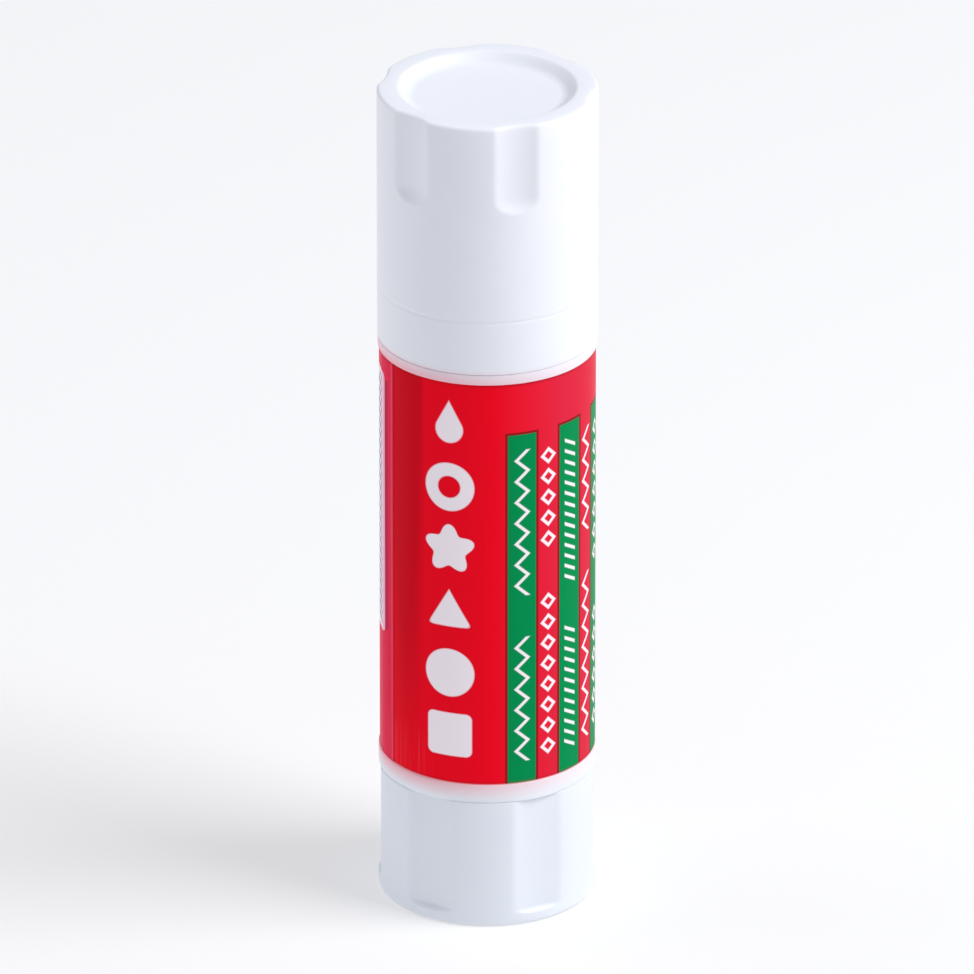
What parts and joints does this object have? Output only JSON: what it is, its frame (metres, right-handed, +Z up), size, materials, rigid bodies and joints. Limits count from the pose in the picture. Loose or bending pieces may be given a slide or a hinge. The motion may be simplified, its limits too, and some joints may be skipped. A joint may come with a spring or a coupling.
{
  "type": "glue stick",
  "caption": "Twist-up glue stick with a fluted push-on cap, a wrap-labelled barrel and a fluted turning base that raises the glue on a screw.",
  "frame": {"origin": "on the stick's axis, at the underside of the knob that it stands on", "axes": "+Z up along the axis to the cap's top, -Y towards the front of the label, +X to the right"},
  "size_m": [0.0256, 0.0256, 0.1015],
  "materials": {
    "white_plastic": "satin gloss moulded white",
    "seal_plastic": "soft natural white",
    "label_film": "glossy printed film, red with green stripes",
    "glue_paste": "waxy white paste"
  },
  "bodies": {
    "barrel": {"barrel": "white_plastic", "label": "label_film"},
    "knob": {"knob": "white_plastic", "spindle": "white_plastic"},
    "carrier": {"carrier": "white_plastic", "glue": "glue_paste"},
    "cap": {"cap": "white_plastic", "cap_seal": "seal_plastic"}
  },
  "joints": [
    {"name": "knob_turn", "type": "hinge", "parent": "barrel", "child": "knob", "pos_m": [0, 0, 0], "axis": [0, 0, 1], "range_deg": [-2736, 1152]},
    {"name": "carrier_slide", "type": "slide", "parent": "barrel", "child": "carrier", "axis": [0, 0, 1], "range_m": [-0.038, 0.016]},
    {"name": "cap_lift", "type": "slide", "parent": "barrel", "child": "cap", "axis": [0, 0, 1], "range_m": [0, 0.045]}
  ],
  "couplings": [
    {"joint": "carrier_slide", "follows": "knob_turn", "m_per_rad": 0.00079577}
  ]
}
